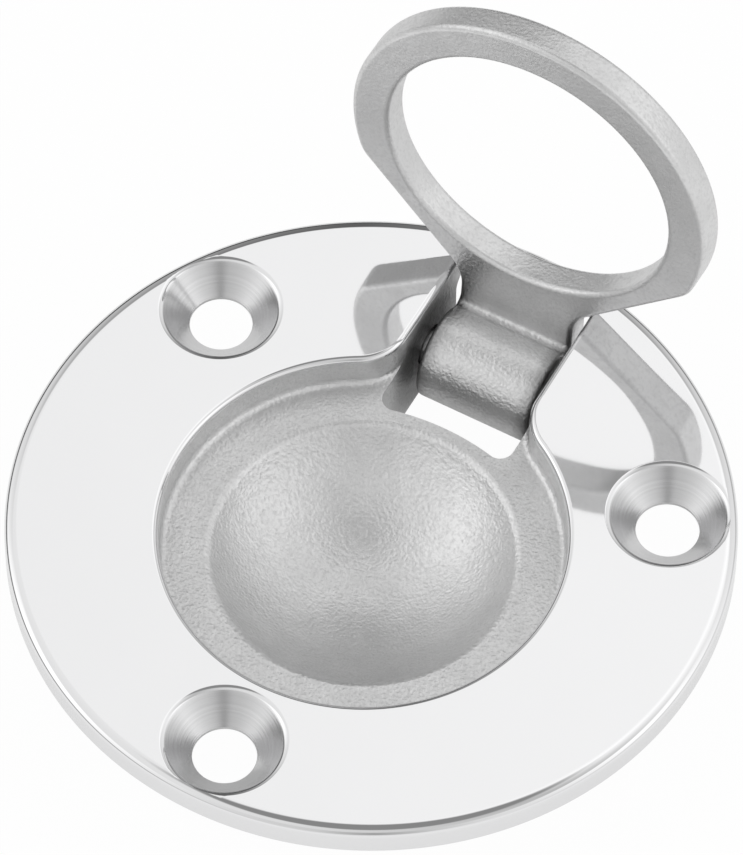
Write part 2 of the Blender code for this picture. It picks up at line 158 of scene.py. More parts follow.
class PlateSizes(bpy.types.PropertyGroup):
    """Sizes of the cast plate."""
    radius: length("Radius", "Outside of the polished plate", PLATE_HIGH.x)
    thickness: length("Thickness", "Plate above its back face", PLATE_HIGH.z)
    edge_round: length("Edge rounding", "Rounding of the polished edges round the recess", 0.0005)
    rim_reach: length("Rim shoulder", "Buffed shoulder of the rim, seen from above", 0.0010)
    rim_drop: length("Rim drop", "Buffed shoulder of the rim, seen from the side", 0.0006)
    hole_circle: length("Screw circle radius", "Centre of the plate to a screw hole", PLATE_HIGH.x - SCREW_LAND)
    hole_radius: length("Hole radius", "Screw hole", 0.0025)
    head_radius: length("Countersink radius", "Countersink at the plate's face", 0.00475)
    recess_radius: length("Recess radius", "Round recess for the ring", 0.0159)
    recess_depth: length("Recess depth", "Plate's face to the recess floor", 0.0031)
    recess_back: length("Recess setback", "Plate's centre to the recess's centre, away from the hinge", 0.0013)
    neck_half: length("Neck half width", "Half the width of the neck and pocket", 0.0058)
    neck_corner: length("Neck corner", "Rounding between the round recess and its neck", 0.0045)
    floor_round: length("Floor rounding", "Fillet between the recess floor and its wall", 0.0006)
    cup_radius: length("Cup radius", "Finger cup at the recess floor", 0.01205)
    cup_depth: length("Cup depth", "Finger cup below the recess floor", 0.0058)
    cup_rim: length("Cup rim rounding", "Rounding between the cup and the recess floor", 0.001)
    wall: length("Wall", "Casting wall below the plate", 0.0018)
    pocket_land: length("Pocket land", "Recess floor left between the cup and the pocket", 0.00115)
    pocket_back: length("Pocket back", "Hinge axis to the pocket's far wall", 0.0065438)
    pocket_corner: length("Pocket corner", "Rounding of the pocket's corners", 0.0012)
    lug: length("Lug", "Thickness of each hinge lug", 0.0026)
    lug_cover: length("Lug cover", "Lug below the ring's barrel", 0.0009)
    lug_round: length("Lug rounding", "Rounding of the lugs' outer edges", 0.0005)
    lip: length("Countersink lip", "Rounding between a countersink and the plate's face", 0.0009)
    pin_bore: length("Pin bore", "Radius of the lugs' bores for the hinge pin", 0.0018)


class RingSizes(bpy.types.PropertyGroup):
    """Sizes of the hinged ring."""
    bore_radius: length("Bore radius", "Finger hole of the ring", 0.01225)
    width: length("Width", "Ring seen from its face", 0.00325)
    thickness: length("Thickness", "Ring seen from its side", 0.0027)
    tab_half: length("Tab half width", "Half the width of the tab and barrel", 0.005)
    barrel_radius: length("Barrel radius", "Barrel round the hinge pin", 0.0039)
    pin_radius: length("Pin radius", "Hinge pin", 0.0015)
    pin_bore: length("Pin bore", "Radius of the barrel's bore for the hinge pin", 0.0018)
    edge_round: length("Edge rounding", "Rounding of the cast edges", 0.00045)


class Finish(bpy.types.PropertyGroup):
    """Metal tones and roughness."""
    polished: tone("Polished steel", "Colour of the mirror polished face", (0.785, 0.785, 0.79))
    satin: tone("Satin casting", "Colour of the satin cast surfaces", (0.74, 0.74, 0.74))
    polish_rough: share("Polish roughness", "Roughness of the mirror polish", 0.045)
    satin_rough: share("Satin roughness", "Roughness of the cast surfaces", 0.38)
    machined_rough: share("Countersink roughness", "Roughness of the turned countersinks", 0.20)
    grain_size: length("Grain size", "Typical size of the pebbles on the casting", 0.00026)


class Studio(bpy.types.PropertyGroup):
    """Floor and light."""
    floor: tone("Floor", "Colour of the floor", (0.93, 0.93, 0.93))
    fill: bpy.props.FloatProperty(name="Surrounding light", description="Strength of the soft light all round",
                                  default=1.0, min=0.0, soft_max=3.0)


class RingPull(bpy.types.PropertyGroup):
    """All settings of the ring pull."""
    plate: bpy.props.PointerProperty(type=PlateSizes, name="Plate")
    ring: bpy.props.PointerProperty(type=RingSizes, name="Ring")
    finish: bpy.props.PointerProperty(type=Finish, name="Finish")
    studio: bpy.props.PointerProperty(type=Studio, name="Studio")


# Modelling by hand, as steps

def only_nothing():
    """Leaves edit mode and deselects everything."""
    if bpy.context.mode != "OBJECT":
        bpy.ops.object.mode_set(mode="OBJECT")
    bpy.ops.object.select_all(action="DESELECT")


def only(item):
    """Makes one object the selected and active one."""
    only_nothing()
    item.select_set(True)
    bpy.context.view_layer.objects.active = item


def newest(name):
    """Names the object that was just added."""
    item = bpy.context.active_object
    item.name = name
    item.data.name = name
    return item


def settle(item):
    """Puts the object's place into its mesh, so that the object is at the origin."""
    only(item)
    bpy.ops.object.transform_apply(location=True, rotation=True, scale=True)


def outward(item):
    """Turns all faces outwards."""
    only(item)
    bpy.ops.object.mode_set(mode="EDIT")
    bpy.ops.mesh.select_all(action="SELECT")
    bpy.ops.mesh.normals_make_consistent(inside=False)
    bpy.ops.object.mode_set(mode="OBJECT")


def lathe(name, rings, steps, centre=(0.0, 0.0)):
    """Turned solid: a round face is extruded and resized through rings of (radius, height). A last radius of
    nothing closes it in a point."""
    radius, height = rings[0]
    only_nothing()
    bpy.ops.mesh.primitive_circle_add(vertices=steps, radius=radius, fill_type="NGON",
                                      location=(centre[0], centre[1], height))
    item = newest(name)
    settle(item)
    bpy.ops.object.mode_set(mode="EDIT")
    bpy.ops.mesh.select_all(action="SELECT")
    for next_radius, next_height in rings[1:]:
        bpy.ops.mesh.extrude_region_move(TRANSFORM_OT_translate={"value": (0, 0, next_height - height)})
        if next_radius < SLIVER:
            bpy.ops.mesh.merge(type="CENTER")
            break
        grow = next_radius / radius
        bpy.ops.transform.resize(value=(grow, grow, 1), center_override=(centre[0], centre[1], next_height))
        radius, height = next_radius, next_height
    bpy.ops.object.mode_set(mode="OBJECT")
    outward(item)
    return item


def slab(name, outline, low, high):
    """Upright block on an outline in plan: a flat face laid on the outline's points, then extruded."""
    only_nothing()
    bpy.ops.mesh.primitive_circle_add(vertices=len(outline), radius=1, fill_type="NGON", location=(0, 0, 0))
    item = newest(name)
    for vertex, spot in zip(item.data.vertices, outline):
        vertex.co = (spot[0], spot[1], low)
    bpy.ops.object.mode_set(mode="EDIT")
    bpy.ops.mesh.select_all(action="SELECT")
    bpy.ops.mesh.extrude_region_move(TRANSFORM_OT_translate={"value": (0, 0, high - low)})
    bpy.ops.object.mode_set(mode="OBJECT")
    outward(item)
    return item


def side_slab(name, outline, half_width):
    """Block along X on an outline given as (y, z)."""
    item = slab(name, outline, -half_width, half_width)
    item.matrix_world = Matrix(((0, 0, 1, 0), (1, 0, 0, 0), (0, 1, 0, 0), (0, 0, 0, 1)))
    settle(item)
    return item


def rod_x(name, radius, half_length, centre, steps):
    """Plain rod along X."""
    only_nothing()
    bpy.ops.mesh.primitive_cylinder_add(vertices=steps, radius=radius, depth=2 * half_length, location=centre,
                                        rotation=(0, math.pi / 2, 0))
    item = newest(name)
    settle(item)
    return item


def mid_edge(vertex):
    """True for a point in the middle of a straight edge."""
    if len(vertex.link_edges) != 2:
        return False
    first, second = (edge.other_vert(vertex).co - vertex.co for edge in vertex.link_edges)
    return first.angle(-second) < math.radians(STRAIGHT)


def clean_cut(item):
    """Merges points less than a thousandth of a millimetre apart and dissolves points in the middle of an edge."""
    only(item)
    bpy.ops.object.mode_set(mode="EDIT")
    bpy.ops.mesh.select_mode(type="VERT")
    bpy.ops.mesh.select_all(action="SELECT")
    bpy.ops.mesh.remove_doubles(threshold=SLIVER / 10)
    bpy.ops.mesh.select_all(action="DESELECT")
    work = bmesh.from_edit_mesh(item.data)
    idle = [vertex for vertex in work.verts if mid_edge(vertex)]
    for vertex in idle:
        vertex.select_set(True)
    work.select_flush_mode()
    bmesh.update_edit_mesh(item.data)
    if idle:
        bpy.ops.mesh.dissolve_verts()
    bpy.ops.object.mode_set(mode="OBJECT")


def boolean(item, tool, operation):
    """Cuts, joins or intersects with a tool body, which is then gone."""
    only(item)
    step = item.modifiers.new(operation.title(), "BOOLEAN")
    step.operation = operation
    step.object = tool
    step.solver = "EXACT"
    bpy.ops.object.modifier_apply(modifier=step.name)
    bpy.data.objects.remove(tool, do_unlink=True)
    clean_cut(item)


def halve(item):
    """Splits the faces along the middle plane, so that a bore through it leaves no face with a hole."""
    only(item)
    bpy.ops.object.mode_set(mode="EDIT")
    bpy.ops.mesh.select_all(action="SELECT")
    bpy.ops.mesh.bisect(plane_co=(0, 0, 0), plane_no=(1, 0, 0))
    bpy.ops.object.mode_set(mode="OBJECT")


def round_over(item, width, segments, chosen):
    """Bevels the edges for which chosen(edge) is true."""
    only(item)
    bpy.ops.object.mode_set(mode="EDIT")
    bpy.ops.mesh.select_mode(type="EDGE")
    bpy.ops.mesh.select_all(action="DESELECT")
    work = bmesh.from_edit_mesh(item.data)
    for edge in work.edges:
        if chosen(edge):
            edge.select_set(True)
    work.select_flush_mode()
    bmesh.update_edit_mesh(item.data)
    bpy.ops.mesh.bevel(offset=width, offset_type="OFFSET", segments=segments, profile=0.5, affect="EDGES",
                       clamp_overlap=False, loop_slide=True)
    bpy.ops.mesh.select_mode(type="VERT")
    bpy.ops.object.mode_set(mode="OBJECT")


def sharp(edge):
    """True for an edge between two faces that meet sharply."""
    return len(edge.link_faces) == 2 and edge.calc_face_angle() > math.radians(SHARP)


def at_height(edge, z):
    """True for a level edge at a height."""
    return all(abs(v.co.z - z) < SLIVER for v in edge.verts)


def smooth(item, degrees=32):
    """Smooth shading that keeps sharp edges, with flat faces kept flat beside their rounded edges."""
    only(item)
    bpy.ops.object.shade_smooth_by_angle(angle=math.radians(degrees))
    step = item.modifiers.new("Flat faces", "WEIGHTED_NORMAL")
    step.mode = "FACE_AREA"
    step.weight = 50
    step.keep_sharp = True
    bpy.ops.object.modifier_apply(modifier=step.name)


# Outlines

def arc(centre, radius, start, end, step=2.0):
    """Points on an arc from one angle to another, in degrees, both ends included."""
    count = max(2, math.ceil(abs(end - start) / step))
    angles = [math.radians(start + (end - start) * k / count) for k in range(count + 1)]
    return [Vector((centre[0] + radius * math.cos(a), centre[1] + radius * math.sin(a))) for a in angles]


def without_repeats(points):
    """Outline without points that lie on the one before, closed without a double end."""
    kept = []
    for point in points:
        if not kept or (point - kept[-1]).length > SLIVER:
            kept.append(point)
    if (kept[0] - kept[-1]).length <= SLIVER:
        kept.pop()
    return kept


def mirrored(half):
    """Closes a right-hand half outline, from -Y round to +Y, with its mirror image."""
    return without_repeats(half + [Vector((-p.x, p.y)) for p in reversed(half)])


def pocket_near_y(sizes):
    """Middle of the pocket's arched near wall."""
    return sizes.cup_radius + sizes.pocket_land - sizes.recess_back


def recess_outline(sizes):
    """Round recess whose hollow shoulders run out into the sides of the hinge pocket."""
    shoulder_x = sizes.neck_half + sizes.neck_corner
    reach = sizes.recess_radius + sizes.neck_corner
    shoulder_y = math.sqrt(reach ** 2 - shoulder_x ** 2) - sizes.recess_back
    tangent = math.degrees(math.acos(shoulder_x / reach))
    half = arc((0, -sizes.recess_back), sizes.recess_radius, -90, tangent, 1.25)
    half += arc((shoulder_x, shoulder_y), sizes.neck_corner, tangent + 180, 182, 3)
    half.append(Vector((sizes.neck_half - sizes.pocket_corner, shoulder_y)))
    return mirrored(half)


def pocket_outline(sizes):
    """Pocket through the neck: arched near wall, straight sides, square far wall with rounded corners."""
    corner = sizes.pocket_corner
    arch_radius = 0.020
    side = sizes.neck_half - corner
    spread = math.degrees(math.asin(side / arch_radius))
    half = arc((0, pocket_near_y(sizes) - arch_radius), arch_radius, 90, 90 - spread, 1)
    half += arc((side, half[-1].y + corner), corner, -90, 0, 7.5)
    half += arc((side, HINGE.y + sizes.pocket_back - corner), corner, 0, 90, 7.5)
    return mirrored(half)


def ring_outline(sizes, plate):
    """Plan of the closed ring: sloping shoulders run into the tab, which passes the end of the barrel."""
    outer = sizes.bore_radius + sizes.width
    slope = math.radians(44.5)
    along = Vector((-math.cos(slope), math.sin(slope)))
    across = Vector((math.sin(slope), math.cos(slope)))
    centre = Vector((0, -plate.recess_back))

    # rounded corner between the ring's outer circle and the straight shoulder
    corner_round = 0.003
    shoulder_inside = 0.00135
    offset = outer - shoulder_inside
    inner = offset - corner_round
    back = math.sqrt((outer - corner_round) ** 2 - inner ** 2)
    corner = centre + across * inner - along * back
    start = math.degrees(math.atan2(corner.y - centre.y, corner.x))
    facing = math.degrees(math.atan2(across.y, across.x))
    half = arc(centre, outer, -90, start, 1.5)
    half += arc(corner, corner_round, start, facing, 3)

    # hollow corner between the shoulder and the tab's side
    root_round = 0.004
    root_x = sizes.tab_half + root_round
    line = centre + across * (offset + root_round)
    root = Vector((root_x, line.y + (root_x - line.x) * along.y / along.x))
    half += arc(root, root_round, facing + 180, 180, 3)
    half.append(Vector((sizes.tab_half, HINGE.y + sizes.barrel_radius + ABOVE)))
    return mirrored(half)


def ring_side_outline(sizes, plate):
    """Side view of the closed ring, its tab and barrel, as (y, z) from the hinge axis."""
    top = plate.thickness - HINGE.z
    under = top - sizes.thickness
    crease = 0.0005
    back_round = 0.003
    free_end = -plate.recess_back - sizes.bore_radius - sizes.width - ABOVE - HINGE.y
    fillet_z = under - crease
    fillet_y = -math.sqrt((sizes.barrel_radius + crease) ** 2 - fillet_z ** 2)
    touch = math.degrees(math.atan2(fillet_z, fillet_y))
    points = [Vector((free_end, under))]
    points += arc((fillet_y, fillet_z), crease, 90, touch - 180, 8)
    points += arc((0, 0), sizes.barrel_radius, touch, 360, 3)
    points += arc((sizes.barrel_radius - back_round, top - back_round), back_round, 0, 90, 4.5)
    points.append(Vector((free_end, top)))
    return without_repeats(points)


def lug_outline(plate, lug_depth):
    """Side view of the lugs as (y, z): square at the cup, rounded far corner, hollow root under the plate."""
    near_y = pocket_near_y(plate) - plate.wall
    reach = 0.0045
    corner = 0.0032
    end_y = HINGE.y + reach
    inside = plate.edge_round
    points = [Vector((near_y, inside)), Vector((near_y, -lug_depth))]
    points += arc((end_y - corner, corner - lug_depth), corner, -90, 0, 5)
    points += arc((end_y + LUG_ROOT, -LUG_ROOT), LUG_ROOT, 180, 90, 7.5)
    points.append(Vector((end_y + LUG_ROOT, inside)))
    return without_repeats(points)


# Turned shapes of the plate, as rings of (radius, height)

def cup_sphere(sizes):
    """Radius of the cup's sphere and the height of its centre."""
    floor_z = sizes.thickness - sizes.recess_depth
    radius = (sizes.cup_radius ** 2 + sizes.cup_depth ** 2) / (2 * sizes.cup_depth)
    return radius, floor_z - sizes.cup_depth + radius


def cup_rings(sizes):
    """Dish whose rim is rounded into the recess floor."""
    floor_z = sizes.thickness - sizes.recess_depth
    sphere, sphere_z = cup_sphere(sizes)
    rim_z = floor_z - sizes.cup_rim
    rim_r = math.sqrt((sphere + sizes.cup_rim) ** 2 - (sphere_z - rim_z) ** 2)
    touch = math.degrees(math.atan2(sphere_z - rim_z, -rim_r))
    first = math.degrees(math.atan2(rim_z - sphere_z, rim_r))
    rings = [(rim_r, floor_z + ABOVE)]
    rings += [(p.x, p.y + SLIVER) for p in arc((rim_r, rim_z), sizes.cup_rim, 90, touch, 5)]
    rings += [(p.x, p.y) for p in arc((0, sphere_z), sphere, first, -90, 2)[1:]]
    return rings


def tub_rings(sizes):
    """Outside of the casting under the plate: rounded root, short wall, rounded corner and the cup's dome."""
    fillet = 0.0012
    floor_z = sizes.thickness - sizes.recess_depth - sizes.wall
    wall_r = sizes.recess_radius + sizes.wall
    sphere, sphere_z = cup_sphere(sizes)
    dish = sphere + sizes.wall
    hollow_z = floor_z - fillet
    hollow_r = math.sqrt((dish + fillet) ** 2 - (sphere_z - hollow_z) ** 2)
    touch = math.degrees(math.atan2(hollow_z - sphere_z, hollow_r))
    points = [Vector((wall_r + fillet, sizes.thickness / 2))]
    points += arc((wall_r + fillet, -fillet), fillet, 90, 180, 10)
    points += arc((wall_r - fillet, floor_z + fillet), fillet, 0, -90, 10)
    points += arc((hollow_r, hollow_z), fillet, 90, touch + 180, 8)
    points += arc((0, sphere_z), dish, touch, -90, 3)[1:]
    return [(p.x, p.y) for p in without_repeats(points)]


def countersink_rings(sizes):
    """Screw hole with its cone and a small rounded lip at the plate's face."""
    slope = math.radians(COUNTERSINK_SLOPE)
    cone_depth = (sizes.head_radius - sizes.hole_radius) / math.tan(slope)
    lip_r = sizes.head_radius + sizes.lip * math.tan(slope / 2)
    lip = arc((lip_r, sizes.thickness - sizes.lip), sizes.lip, 90, 90 + COUNTERSINK_SLOPE, 7.5)
    rings = [(lip_r, sizes.thickness + ABOVE)]
    rings += [(p.x, p.y + SLIVER) for p in lip]
    rings += [(sizes.hole_radius, sizes.thickness - cone_depth), (sizes.hole_radius, -ABOVE)]
    return rings


def rim_rings(sizes):
    """Plate with square lower edge and a buffed shoulder that runs out flat into the top face."""
    rings = [(sizes.radius, 0.0)]
    parts = 14
    for k in range(parts + 1):
        turn = math.radians(90 * k / parts)
        rings.append((sizes.radius - sizes.rim_reach * (1 - math.cos(turn)),
                      sizes.thickness - sizes.rim_drop * (1 - math.sin(turn))))
    return rings


def screw_spots(sizes):
    """Centres of the three screw holes."""
    turns = [math.radians(angle) for angle in SCREW_ANGLES]
    return [(sizes.hole_circle * math.cos(turn), sizes.hole_circle * math.sin(turn)) for turn in turns]


def model_plate(sizes, ring):
    """The whole casting below and around the ring."""
    floor_z = sizes.thickness - sizes.recess_depth
    lug_depth = -HINGE.z + ring.barrel_radius + sizes.lug_cover
    lug_x = sizes.neck_half + sizes.lug
    centre = (0.0, -sizes.recess_back)
    plate = lathe("cast_plate", rim_rings(sizes), RIM_STEPS)
    boolean(plate, lathe("tub", tub_rings(sizes), TUB_STEPS, centre), "UNION")
    lugs = side_slab("lugs", lug_outline(sizes, lug_depth), lug_x)

    def lug_edge(edge):
        """True for an outer edge of a lug below its hollow root."""
        on_side = all(abs(abs(v.co.x) - lug_x) < SLIVER for v in edge.verts)
        return on_side and min(v.co.z for v in edge.verts) < -LUG_ROOT - SLIVER and sharp(edge)

    round_over(lugs, sizes.lug_round, 4, lug_edge)
    boolean(plate, lugs, "UNION")

    recess = slab("recess", recess_outline(sizes), floor_z, sizes.thickness + ABOVE)
    round_over(recess, sizes.floor_round, 6, lambda e: at_height(e, floor_z) and sharp(e))
    boolean(plate, recess, "DIFFERENCE")
    pocket = slab("pocket", pocket_outline(sizes), -lug_depth - ABOVE, sizes.thickness + ABOVE)
    boolean(plate, pocket, "DIFFERENCE")
    round_over(plate, sizes.edge_round, 7, lambda e: at_height(e, sizes.thickness) and sharp(e))

    boolean(plate, lathe("cup", cup_rings(sizes), TUB_STEPS, centre), "DIFFERENCE")
    for spot in screw_spots(sizes):
        boolean(plate, lathe("screw_hole", countersink_rings(sizes), HOLE_STEPS, spot), "DIFFERENCE")
    boolean(plate, rod_x("lug_bore", sizes.pin_bore, lug_x + ABOVE, HINGE, PIN_STEPS), "DIFFERENCE")
    smooth(plate)
    return plate


def model_ring(sizes, plate):
    """Ring, tab and barrel, modelled closed and then turned open about the hinge axis."""
    outer = sizes.bore_radius + sizes.width
    low = HINGE.z - sizes.barrel_radius - ABOVE
    ring = slab("cast_ring", ring_outline(sizes, plate), low, plate.thickness + ABOVE)
    side = side_slab("side_view", ring_side_outline(sizes, plate), outer + ABOVE)
    side.location = HINGE
    settle(side)
    boolean(ring, side, "INTERSECT")
    halve(ring)
    ends = [(sizes.bore_radius, plate.thickness + ABOVE), (sizes.bore_radius, low)]
    bore = lathe("ring_bore", ends, BORE_STEPS, (0.0, -plate.recess_back))
    boolean(ring, bore, "DIFFERENCE")
    round_over(ring, sizes.edge_round, 5, lambda e: e.is_convex and sharp(e))
    boolean(ring, rod_x("barrel_bore", sizes.pin_bore, sizes.tab_half + ABOVE, HINGE, PIN_STEPS), "DIFFERENCE")

    opened = math.radians(frame["joints"][0]["range_deg"][0])
    turned = Matrix.Rotation(opened, 4, "X")
    ring.matrix_world = Matrix.Translation(HINGE) @ turned @ Matrix.Translation(-HINGE)
    settle(ring)
    smooth(ring)
    return ring


def model_pin(sizes, plate):
    """Plain pin with rounded ends, turned along its own axis and laid into the lugs."""
    half = plate.neck_half + plate.lug
    end = 0.0003
    rings = [(p.x, p.y) for p in arc((sizes.pin_radius - end, half - end), end, 90, 0, 15)]
    rings += [(r, -z) for r, z in reversed(rings)]
    pin = lathe("pin", rings, PIN_STEPS)
    pin.matrix_world = Matrix.Translation(HINGE) @ Matrix.Rotation(math.pi / 2, 4, "Y")
    settle(pin)
    smooth(pin)
    return pin


# Shader groups

def group(name, inputs, outputs):
    """Empty shader group with named sockets: (name, kind, default)."""
    tree = bpy.data.node_groups.new(name, "ShaderNodeTree")
    for label, kind, default in inputs:
        socket = tree.interface.new_socket(label, in_out="INPUT", socket_type=kind)
        if default is not None:
            socket.default_value = default
    for label, kind in outputs:
        tree.interface.new_socket(label, in_out="OUTPUT", socket_type=kind)
    return tree, tree.nodes.new("NodeGroupInput"), tree.nodes.new("NodeGroupOutput")


def node(tree, kind, **values):
    """New node with its properties set."""
    made = tree.nodes.new(kind)
    for key, value in values.items():
        setattr(made, key, value)
    return made


def feed(tree, socket, value):
    """Sets a socket to a number or a colour, or links it to an output."""
    if isinstance(value, (int, float)):
        socket.default_value = value
    elif isinstance(value, tuple):
        socket.default_value = (*value, 1.0)
    else:
        tree.links.new(value, socket)


def maths(tree, operation, first, second=None):
    """Result of a sum on one or two values."""
    made = node(tree, "ShaderNodeMath", operation=operation)
    feed(tree, made.inputs[0], first)
    if second is not None:
        feed(tree, made.inputs[1], second)
    return made.outputs[0]


def product(tree, first, second):
    """Two values multiplied."""
    return maths(tree, "MULTIPLY", first, second)


def distance(tree, across, along):
    """Length of a line from its two parts at right angles."""
    return maths(tree, "SQRT", maths(tree, "ADD", product(tree, across, across), product(tree, along, along)))


def parts_of(tree, vector):
    """The x, y and z of a vector."""
    split = tree.nodes.new("ShaderNodeSeparateXYZ")
    tree.links.new(vector, split.inputs[0])
    return split.outputs


def scaled(colour, share_left):
    """Share of a colour."""
    return tuple(share_left * c for c in colour)


def ramp(tree, value, low, high, out_low=0.0, out_high=1.0):
    """Smooth step of a value between two bounds."""
    made = node(tree, "ShaderNodeMapRange", interpolation_type="SMOOTHSTEP")
    tree.links.new(value, made.inputs["Value"])
    for label, number in (("From Min", low), ("From Max", high), ("To Min", out_low), ("To Max", out_high)):
        made.inputs[label].default_value = number
    return made.outputs["Result"]


def fade(tree, value, place, bounds):
    """Smooth step of a value between two bounds measured from a place."""
    return ramp(tree, value, place + bounds[0], place + bounds[1])


def noise(tree, vector, scale, detail, rough):
    """Soft noise, as a number around a half."""
    made = node(tree, "ShaderNodeTexNoise")
    tree.links.new(vector, made.inputs["Vector"])
    feed(tree, made.inputs["Scale"], scale)
    made.inputs["Detail"].default_value = detail
    made.inputs["Roughness"].default_value = rough
    return made.outputs["Fac"]


def blend(tree, factor, first, second):
    """Mix of two numbers."""
    made = node(tree, "ShaderNodeMix", data_type="FLOAT")
    for label, value in (("Factor", factor), ("A", first), ("B", second)):
        feed(tree, made.inputs[label], value)
    return made.outputs["Result"]


def tint(tree, factor, first, second):
    """Mix of two colours."""
    made = node(tree, "ShaderNodeMix", data_type="RGBA")
    sockets = [made.inputs["Factor"]] + [s for s in made.inputs if s.type == "RGBA"]
    for socket, value in zip(sockets, (factor, first, second)):
        feed(tree, socket, value)
    return [s for s in made.outputs if s.type == "RGBA"][0]


def make_cast_grain():
    """Pebbly skin of a casting: a height for bump, a mask of the low places between the pebbles, and soft clouds."""
    tree, enter, leave = group(
        "Cast grain",
        [("Place", "NodeSocketVector", None), ("Pebbles per metre", "NodeSocketFloat", 2500.0)],
        [("Height", "NodeSocketFloat"), ("Hollows", "NodeSocketFloat"), ("Clouds", "NodeSocketFloat")],
    )
    place, scale = enter.outputs[0], enter.outputs[1]
    pebbles = node(tree, "ShaderNodeTexVoronoi", feature="SMOOTH_F1")
    tree.links.new(place, pebbles.inputs["Vector"])
    tree.links.new(scale, pebbles.inputs["Scale"])
    pebbles.inputs["Smoothness"].default_value = 0.6
    fine = noise(tree, place, product(tree, scale, 0.9), 2.0, 0.5)
    coarse = noise(tree, place, product(tree, scale, 0.33), 2.0, 0.5)
    clouds = noise(tree, place, product(tree, scale, 0.09), 3.0, 0.6)
    height = maths(tree, "ADD", product(tree, fine, 0.7), product(tree, coarse, 0.5))
    height = maths(tree, "SUBTRACT", height, product(tree, pebbles.outputs["Distance"], 0.35))
    tree.links.new(height, leave.inputs["Height"])
    tree.links.new(ramp(tree, fine, 0.55, 0.32), leave.inputs["Hollows"])
    tree.links.new(ramp(tree, clouds, 0.35, 0.65), leave.inputs["Clouds"])
    return tree


def material(name):
    """New metal, with its shader and the coordinates that its patterns read."""
    made = bpy.data.materials.new(name)
    made.use_nodes = True
    tree = made.node_tree
    shader = tree.nodes["Principled BSDF"]
    shader.inputs["Metallic"].default_value = 1.0
    coords = tree.nodes.new("ShaderNodeTexCoord").outputs["Object"]
    return made, tree, shader, coords


def bump(tree, height, strength, deep, normal=None):
    """Normal that makes a surface look uneven by a height, on top of another normal."""
    made = node(tree, "ShaderNodeBump")
    tree.links.new(height, made.inputs["Height"])
    feed(tree, made.inputs["Strength"], strength)
    made.inputs["Distance"].default_value = deep
    if normal is not None:
        tree.links.new(normal, made.inputs["Normal"])
    return made.outputs["Normal"]


def add_grain(tree, coords, per_metre):
    """Outputs of the casting's grain in this material."""
    made = tree.nodes.new("ShaderNodeGroup")
    made.node_tree = bpy.data.node_groups.get("Cast grain") or make_cast_grain()
    tree.links.new(coords, made.inputs["Place"])
    made.inputs["Pebbles per metre"].default_value = per_metre
    return made.outputs


def satin_colour(tree, grain, colour):
    """Casting colour: a little darker in the hollows and in soft clouds."""
    clouded = tint(tree, grain["Clouds"], scaled(colour, CLOUD_TONE), tuple(colour))
    return tint(tree, product(tree, grain["Hollows"], 0.5), clouded, scaled(colour, HOLLOW_TONE))


def satin_roughness(tree, grain, rough):
    """Casting roughness: a little rougher in the hollows."""
    return blend(tree, grain["Hollows"], rough, rough + HOLLOW_ROUGH)


def from_hinge(tree, y, z):
    """Distance from the hinge axis."""
    return distance(tree, maths(tree, "SUBTRACT", y, HINGE.y), maths(tree, "SUBTRACT", z, HINGE.z))


def ring_material(finish, sizes):
    """Satin casting, smoother on the ring than on the barrel, with painted shade at the barrel's ends."""
    made, tree, shader, coords = material("Satin casting")
    grain = add_grain(tree, coords, 1.0 / finish.grain_size)
    x, y, z = parts_of(tree, coords)
    barrel = fade(tree, from_hinge(tree, y, z), sizes.barrel_radius, NEAR_BARREL)
    ends = fade(tree, maths(tree, "ABSOLUTE", x), sizes.tab_half, BARREL_ENDS)
    # painted shade: the barrel's ends are darkened beside the pocket's walls
    painted_shade = product(tree, product(tree, barrel, ends), 0.8)
    colour = tint(tree, painted_shade, satin_colour(tree, grain, finish.satin), scaled(finish.satin, PAINTED_SHADE))
    tree.links.new(colour, shader.inputs["Base Color"])
    tree.links.new(satin_roughness(tree, grain, finish.satin_rough), shader.inputs["Roughness"])
    strength = blend(tree, barrel, 0.55, 1.0)
    tree.links.new(bump(tree, grain["Height"], strength, GRAIN_HEIGHT), shader.inputs["Normal"])
    return made


def nearest_screw_axis(tree, x, y, sizes):
    """Distance from the axis of the nearest screw hole."""
    near = None
    for across, along in screw_spots(sizes):
        away = distance(tree, maths(tree, "SUBTRACT", x, across), maths(tree, "SUBTRACT", y, along))
        near = away if near is None else maths(tree, "MINIMUM", near, away)
    return near


